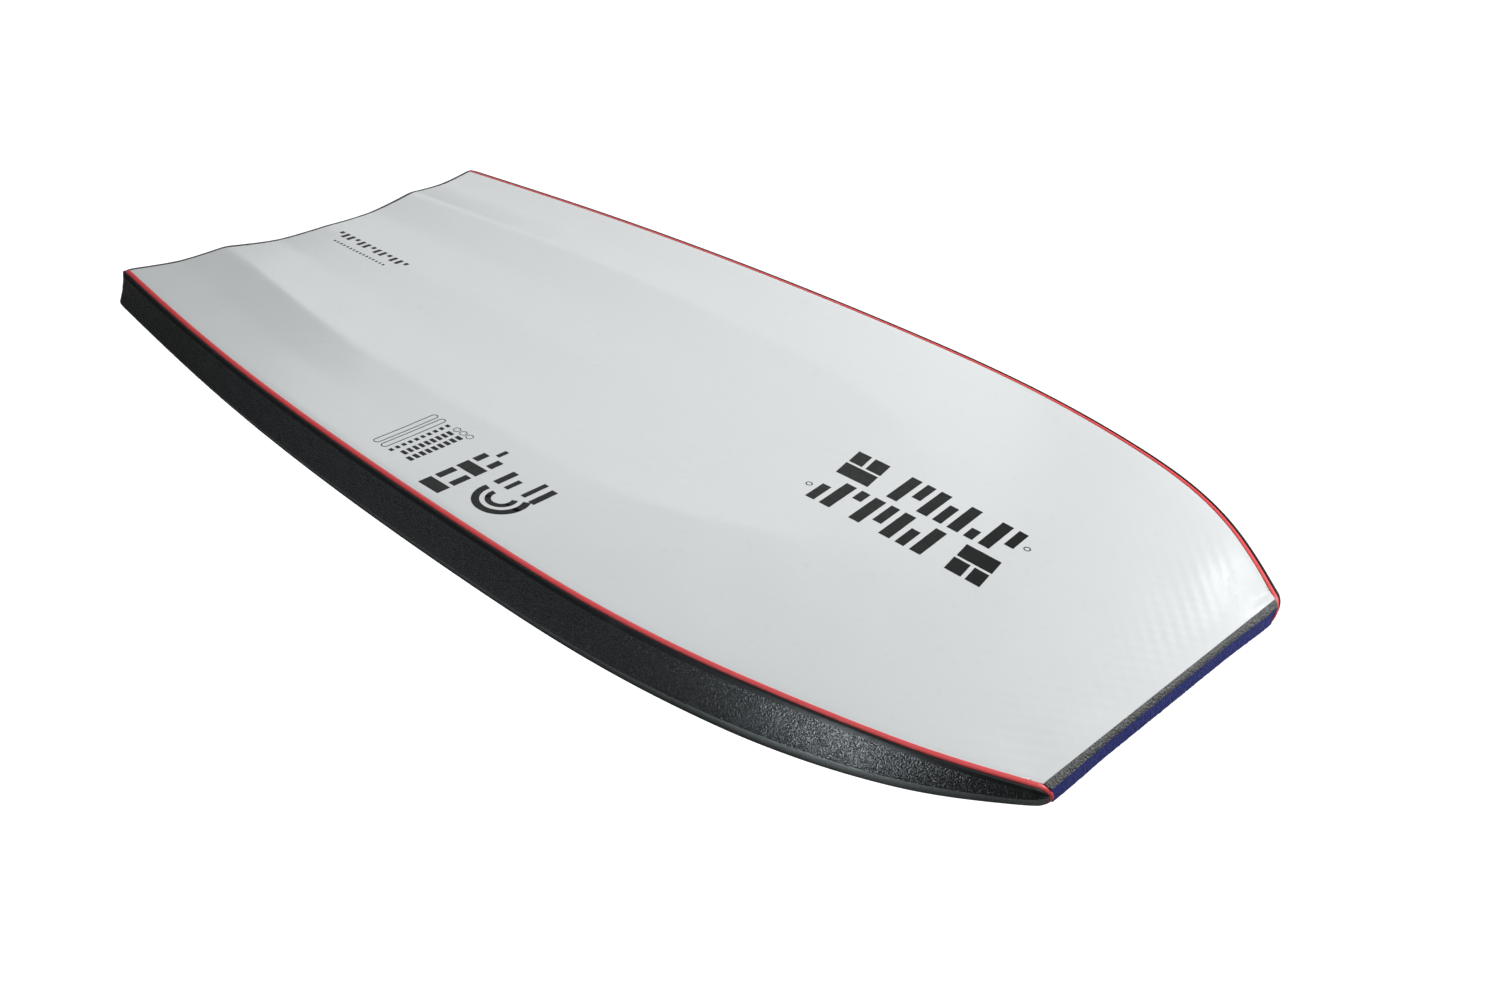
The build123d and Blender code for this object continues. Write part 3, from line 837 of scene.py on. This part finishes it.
def make_deck():
    """The blue skin: an upright front, a roll under the nose, and a flat run back to the crescent."""
    low_z = float(belly_height(ROLL_END))
    t = np.linspace(0, 1, 9)[:-1]
    angle = np.linspace(0, math.pi / 2, 13)
    run = np.arange(ROLL_END + 8 * MM, END, 5 * MM)
    rows = len(t) + len(angle) + len(run)
    u = np.linspace(-1, 1, 161)[None, :]
    half = np.empty(rows)
    upright, roll = slice(0, len(t)), slice(len(t), len(t) + len(angle))
    flat = slice(len(t) + len(angle), rows)
    corner_front = float(bevel_front(WRAP_STRIP))
    roll_s = -corner_front + (ROLL_END + corner_front) * (1 - np.cos(angle))
    half[upright] = WRAP_STRIP + (WRAP_LOW - WRAP_STRIP) * t
    half[roll] = WRAP_LOW + (rail["deck_inside"](roll_s)[:, 0] - WRAP_LOW) * np.sin(angle)
    lap = DECK_LAP * (1 - ease(run, LIFT_START, LIFT_END))
    half[flat] = rail["deck_inside"](run)[:, 0] + lap - 0.1 * MM
    x = u * half[:, None]
    front = bevel_front(x[: -len(run)])
    top = float(edge_height(0)) - EDGE_DROP - BEVEL_DROP
    z = np.empty((rows, x.shape[1]))
    s = np.empty_like(z)
    z[upright] = (top + (FRONT_LOW - top) * t)[:, None]
    s[upright] = -front[upright]
    z[roll] = FRONT_LOW - (FRONT_LOW - low_z) * np.sin(angle)[:, None]
    s[roll] = -front[roll] + (ROLL_END + front[roll]) * (1 - np.cos(angle))[:, None]
    z[flat] = belly_height(run)[:, None]
    past = run[:, None] - CRESCENT_START
    reach = (tail_station(x[flat]) - STRIP - CRESCENT_START) / past[-1]
    s[flat] = np.where(past > 0, CRESCENT_START + past * reach, run[:, None])
    grid = place(x, s, z)
    normal = normals_of(grid)
    normal *= np.where((normal[..., 1:2] + normal[..., 2:]) > 0, -1, 1)
    pebble = np.random.default_rng(23).normal(0, DECK_PEBBLE, grid.shape[:2])
    pebble[z < 0.5 * MM] = 0
    pebble[:, [0, -1]] = 0
    pebble[[0, -1]] = 0
    inner = grid - normal * BAND_THICKNESS
    outer = grid + normal * pebble[..., None]
    deck = shell("deck_skin_textured", outer, inner, [deck_pebble])
    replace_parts(deck, "deck_skin")


def make_nose_bevel():
    """The grey strip between the slick's nose edge and the blue front."""
    rows, columns = 9, 181
    t = np.linspace(0, 1, rows)[:, None]
    top = float(edge_height(0)) - EDGE_DROP
    x = np.linspace(-1, 1, columns)[None, :] * (WRAP_TOP + (WRAP_STRIP - WRAP_TOP) * t)
    bulge = STRIP_BULGE * np.sin(math.pi * t)
    outer = place(x, -bevel_front(x) * t - bulge, top - BEVEL_DROP * t + bulge)
    pebble = np.random.default_rng(5).normal(0, NOSE_PEBBLE, outer.shape[:2])
    pebble[0] = pebble[-1] = 0
    outer[..., 1] -= pebble
    outer[..., 2] += pebble
    inner = outer + np.array([0, 2.0, -2.0]) * MM
    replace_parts(shell("nose_bevel", outer, inner, [nose_grain]), "nose_bulb")


# How fast the tail band widens upward from its foot
CHINE_LEAN = 0.7
# Lip and foot of the tail band: station in mm from its back face, and height in mm, for the lip over
# the slick and for the foot over the floor
TAIL_LIP = [(-3.4, -0.3), (-2.9, 0.4), (-1.8, 0.75), (-0.8, 0.55), (-0.1, -0.4), (0, -2.2)]
TAIL_FOOT = [(0, 2.5), (-0.2, 1.2), (-0.9, 0.4), (-3.0, 0.05)]
# The face between them is slightly hollow
TAIL_HOLLOW, TAIL_ROWS = 0.15 * MM, 16


def make_tail_cap():
    """The dark band that closes the crescent, with a lip that stands a little over the slick."""
    half = float(rail["pinline"](RAIL_END)[0]) - 0.2 * MM
    x = np.linspace(-half, half, 221)[None, :]
    edge_x = float(slick_half_width(SLICK_END))
    top = slick_height(np.clip(x, -edge_x, edge_x), np.full_like(x, LAST_ROW))
    top = top - np.clip((abs(x) - edge_x) / (half - edge_x), 0, 1) * 1.2 * MM
    back = tail_station(x)
    rows = [(back + ds * MM, top + dz * MM) for ds, dz in TAIL_LIP]
    high, low = top + TAIL_LIP[-1][1] * MM, TAIL_FOOT[0][1] * MM
    for k in range(1, TAIL_ROWS):
        share = k / TAIL_ROWS
        rows.append((back - TAIL_HOLLOW * math.sin(math.pi * share), high * (1 - share) + low * share))
    rows += [(back + ds * MM, np.full_like(x, dz * MM)) for ds, dz in TAIL_FOOT]
    outer = np.stack([place(x, s, z)[0] for s, z in rows])
    foot = float(rail["foot"](RAIL_END)[0]) - 0.3 * MM
    outer[..., 0] *= np.minimum(half, foot + outer[..., 2] * CHINE_LEAN) / half
    inner = outer.copy()
    inner[..., 1] = np.minimum(outer[..., 1], NOSE_Y + back - 1.8 * MM) - 1.2 * MM
    inner[..., 2] = np.clip(outer[..., 2], 0.9 * MM, top - 1.0 * MM)
    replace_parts(shell("tail_cap", outer, inner, [tail_rubber]), "tail_strip")


# ---- Prints: abstract bars and rings, given in mm by x and station ------------------------------
PRINT_LIFT, PRINT_SINK, PRINT_CELL = 0.13 * MM, 0.25 * MM, 4 * MM
# Bars of the nose row: width along the board, then from and to across it
NOSE_BARS = [(11, 15, 56), (9, 30, 56), (11, 15, 56), (9, 15, 44)]
NOSE_BARS += [(11, 15, 56), (9, 15, 30), (11, 15, 56), (9, 30, 56)]
NOSE_BAR_GAP = 5.5


def bar(x0, s0, x1, s1, width):
    """A straight stroke between two points (mm), cut square."""
    length = math.hypot(x1 - x0, s1 - s0)
    dx, ds = -(s1 - s0) / length * width / 2, (x1 - x0) / length * width / 2
    return [(x0 + dx, s0 + ds), (x1 + dx, s1 + ds), (x1 - dx, s1 - ds), (x0 - dx, s0 - ds)]


def slant(x0, x1, s, width, lean):
    """A bar across the board, `width` along it, whose far end is shifted by `lean`."""
    return [(x0, s), (x1, s + lean), (x1, s + lean + width), (x0, s + width)]


def arc(x, s, radius, width, start=0, stop=360, sides=28):
    """Patches of a curved stroke; angles in degrees from +X."""
    angles = [math.radians(start + (stop - start) * k / sides) for k in range(sides + 1)]
    patches = []
    for a, b in zip(angles, angles[1:]):
        inner, outer = radius - width / 2, radius + width / 2
        corners = ((inner, a), (outer, a), (outer, b), (inner, b))
        patches.append([(x + r * math.cos(t), s + r * math.sin(t)) for r, t in corners])
    return patches


def print_mark(name, patches):
    """One piece of ink from four-cornered patches, laid over the slick."""
    points, faces = [], []
    for patch in patches:
        a, b, c, d = (np.array(corner) * MM for corner in patch)
        columns = max(2, int(max(np.linalg.norm(b - a), np.linalg.norm(c - d)) / PRINT_CELL) + 2)
        rows = max(2, int(max(np.linalg.norm(d - a), np.linalg.norm(c - b)) / PRINT_CELL) + 2)
        u, v = np.linspace(0, 1, columns)[None, :, None], np.linspace(0, 1, rows)[:, None, None]
        flat = (a * (1 - u) + b * u) * (1 - v) + (d * (1 - u) + c * u) * v
        x, s = flat[..., 0], flat[..., 1]
        height = slick_height(x, s)
        both = [place(x, s, height + PRINT_LIFT), place(x, s, height - PRINT_SINK)]
        start = len(points)
        faces += [tuple(start + k for k in face) for face in shell_faces(rows, columns)]
        points += [p for level in both for p in level.reshape(-1, 3).tolist()]
    build(name, points, faces, [ink])


def make_prints():
    """Abstract marks with no letters, where the board carries print."""
    # Two mirrored rows of slanted bars beside a split block, near the nose
    row = [slant(15, 34, 302, 34, 4), slant(37, 56, 306, 16, 4), slant(37, 56, 326, 14, 4)]
    start = 288
    for width, low, high in NOSE_BARS:
        start -= width + NOSE_BAR_GAP
        row.append(slant(low, high, start + (low - 15) * 0.1, width, (high - low) * 0.1))
    row += arc(39, 158, 2.6, 0.9)
    print_mark("print_nose_bars_right", row)
    print_mark("print_nose_bars_left", [[(22 - x, 496 - s) for x, s in patch] for patch in row])
    # A badge of nested arcs with two bars, then rows of bars and small rings, by the left rail
    badge = arc(-224, 483, 21, 6.5, 80, 300) + arc(-224, 483, 11, 5, 80, 300)
    badge += [bar(-212, 462, -186, 462, 6.5), bar(-210, 474, -184, 474, 5)]
    badge += [bar(-212, 504, -190, 504, 6.5), bar(-212, 492, -196, 492, 5)]
    print_mark("print_badge", badge)
    bold = [slant(x, x + 13, 522, 24, 0) for x in (-257, -218)]
    bold += [slant(x, x + reach, s, 7, 0) for x, reach in ((-240, 18), (-201, 13)) for s in (522, 539)]
    bold += [slant(-184, -173, 532, 4.5, 0)]
    print_mark("print_bold_bars", bold)
    small = []
    for k in range(9):
        small.append(slant(-241 + k * 6.4, -237 + k * 6.4, 575, 7, 0))
        small.append(slant(-238 + k * 6.0, -234.4 + k * 6.0, 586, 7, 0))
    for k in range(3):
        small += arc(-180, 574 + 8 * k, 3.4, 0.7, sides=6)
    print_mark("print_small_bars", small)
    fine = [slant(-243 + k * 6.6, -239.5 + k * 6.6, 598, 4.2, 0) for k in range(10)]
    for s in (607, 617):
        fine += [bar(-240, s, -180, s, 0.8), bar(-240, s + 6, -180, s + 6, 0.8)]
        fine += arc(-240, s + 3, 3, 0.8, 90, 270, 10) + arc(-180, s + 3, 3, 0.8, -90, 90, 10)
    print_mark("print_fine_bars", fine)
    tail = [slant(-5 if k % 3 else 0, 5, 885 + k * 8.6, 4.4, 0) for k in range(13)]
    tail += [slant(-17, -14, 900 + k * 5.2, 2.0, 0) for k in range(16)]
    print_mark("print_tail_bars", tail)


make_slick()
for side, name in ((1, "right"), (-1, "left")):
    make_rail(side, name)
    make_pinline(side, name)
make_deck()
make_nose_bevel()
make_tail_cap()
make_prints()


# ---- Studio -------------------------------------------------------------------------------------
# The floor lies just under the deck's pebbles
FLOOR_Z, FLOOR_REACH = -0.9 * MM, 12
# Brightness of the floor and the backdrop to the camera, and of the backdrop to everything else
SEEN_WHITE, AMBIENT = 1.2, 0.11
COOL, COOLER, CARD_COLOUR = (0.95, 0.98, 1), (0.8, 0.9, 1), (0.85, 0.93, 1)
# Area lights: name, position, target, size, power in watts, colour
LIGHTS = [
    ("key_nose", (1.25, -1.15, 1.05), (0.05, -0.1, 0), (0.8, 0.5), 29.5, (1, 1, 1)),
    ("edge_right", (1.38, -0.40, 0.96), (0.14, -0.49, 0), (0.1, 0.1), 0.4, (1, 1, 1)),
    ("side_right", (1.5, 1.4, 0.93), (0.1, 0.25, 0), (1.6, 1.0), 5.8, (1, 1, 1)),
    ("fill_top", (-0.2, -0.1, 2.2), (0, -0.05, 0), (2.0, 2.0), 21.5, COOL),
    ("strip_left", (-1.55, -0.20, 0.30), (-0.25, -0.3, 0.03), (0.5, 0.2), 3.0, COOLER),
]
# Light cards on the floor beside the left rail, hidden from the camera: name, x, y, size, power
CARDS = [
    ("floor_card", -0.41, -0.435, (0.2, 0.10), 2.3),
    ("floor_strip", -0.325, 0.05, (0.07, 0.8), 0.05),
]
CARD_Z = 0.003
# The camera: what it looks at, from how far, and its heading, height angle and roll in degrees
CAMERA_TARGET, CAMERA_DISTANCE = (-0.07233, -0.16486, 0.055), 1.45527
CAMERA_ANGLES = (-50.3756, 31.4799, 5.0246)
CAMERA_LENS, CAMERA_SENSOR = 43.125, 36


def area_light(name, position, target, size, power, color):
    data = bpy.data.lights.new(name, "AREA")
    data.shape = "RECTANGLE"
    data.size, data.size_y = size
    data.energy, data.color = power, color
    light = bpy.data.objects.new(name, data)
    light.location = position
    light.rotation_euler = (Vector(target) - Vector(position)).to_track_quat("-Z", "Y").to_euler()
    bpy.context.scene.collection.objects.link(light)
    return light


def make_floor():
    """A pale floor, seen as white by the camera and plain and pale by everything else."""
    mesh = bpy.data.meshes.new("studio_floor")
    corners = [(x * FLOOR_REACH, y * FLOOR_REACH, FLOOR_Z) for x, y in ((-1, -1), (1, -1), (1, 1), (-1, 1))]
    mesh.from_pydata(corners, [], [(0, 1, 2, 3)])
    floor = bpy.data.objects.new("studio_floor", mesh)
    bpy.context.scene.collection.objects.link(floor)
    f = Finish("studio_paper", (0.3, 0.3, 0.3), 0.9)
    f.base(f.tint(f.noise(0.2, 3), (0.24, 0.24, 0.24), (0.26, 0.26, 0.26)))
    f.normal(f.bump(f.noise(1 * MM, 2), 0.02 * MM, 0.2))
    glow = f.add("ShaderNodeEmission", Color=(1, 1, 1, 1), Strength=SEEN_WHITE)
    seen = f.add("ShaderNodeLightPath").outputs["Is Camera Ray"]
    mix = f.add("ShaderNodeMixShader")
    f.join(seen, mix.inputs[0])
    f.join(f.shader.outputs[0], mix.inputs[1])
    f.join(glow.outputs[0], mix.inputs[2])
    f.join(mix.outputs[0], f.tree.nodes["Material Output"].inputs["Surface"])
    mesh.materials.append(f.material)


def make_world():
    """A dim, even backdrop that the camera sees as white."""
    world = bpy.data.worlds.new("studio")
    world.use_nodes = True
    tree = world.node_tree
    background = tree.nodes["Background"]
    background.inputs["Strength"].default_value = AMBIENT
    white = tree.nodes.new("ShaderNodeBackground")
    white.inputs["Strength"].default_value = SEEN_WHITE
    seen = tree.nodes.new("ShaderNodeLightPath")
    mix = tree.nodes.new("ShaderNodeMixShader")
    background.inputs["Color"].default_value = (*COOL, 1)
    white.inputs["Color"].default_value = (1, 1, 1, 1)
    tree.links.new(seen.outputs["Is Camera Ray"], mix.inputs[0])
    tree.links.new(background.outputs[0], mix.inputs[1])
    tree.links.new(white.outputs[0], mix.inputs[2])
    tree.links.new(mix.outputs[0], tree.nodes["World Output"].inputs["Surface"])
    bpy.context.scene.world = world


def make_camera():
    """The camera at the photo's viewing angle."""
    data = bpy.data.cameras.new("camera")
    data.lens, data.sensor_width, data.sensor_fit = CAMERA_LENS, CAMERA_SENSOR, "HORIZONTAL"
    data.clip_start = 0.01
    camera = bpy.data.objects.new("camera", data)
    turn, lift, roll = (math.radians(angle) for angle in CAMERA_ANGLES)
    back = Vector((math.sin(turn) * math.cos(lift), -math.cos(turn) * math.cos(lift), math.sin(lift)))
    right = Vector((math.cos(turn), math.sin(turn), 0))
    up = back.cross(right)
    x_axis = right * math.cos(roll) + up * math.sin(roll)
    y_axis = up * math.cos(roll) - right * math.sin(roll)
    position = Vector(CAMERA_TARGET) + back * CAMERA_DISTANCE
    basis = Matrix((x_axis, y_axis, back)).transposed().to_4x4()
    camera.matrix_world = Matrix.Translation(position) @ basis
    bpy.context.scene.collection.objects.link(camera)
    bpy.context.scene.camera = camera


make_floor()
make_world()
make_camera()
for light in LIGHTS:
    area_light(*light)
for name, x, y, size, power in CARDS:
    card = area_light(name, (x, y, CARD_Z), (x, y, 1), size, power, CARD_COLOUR)
    card.visible_camera = False
bpy.context.scene.view_settings.view_transform = "Standard"
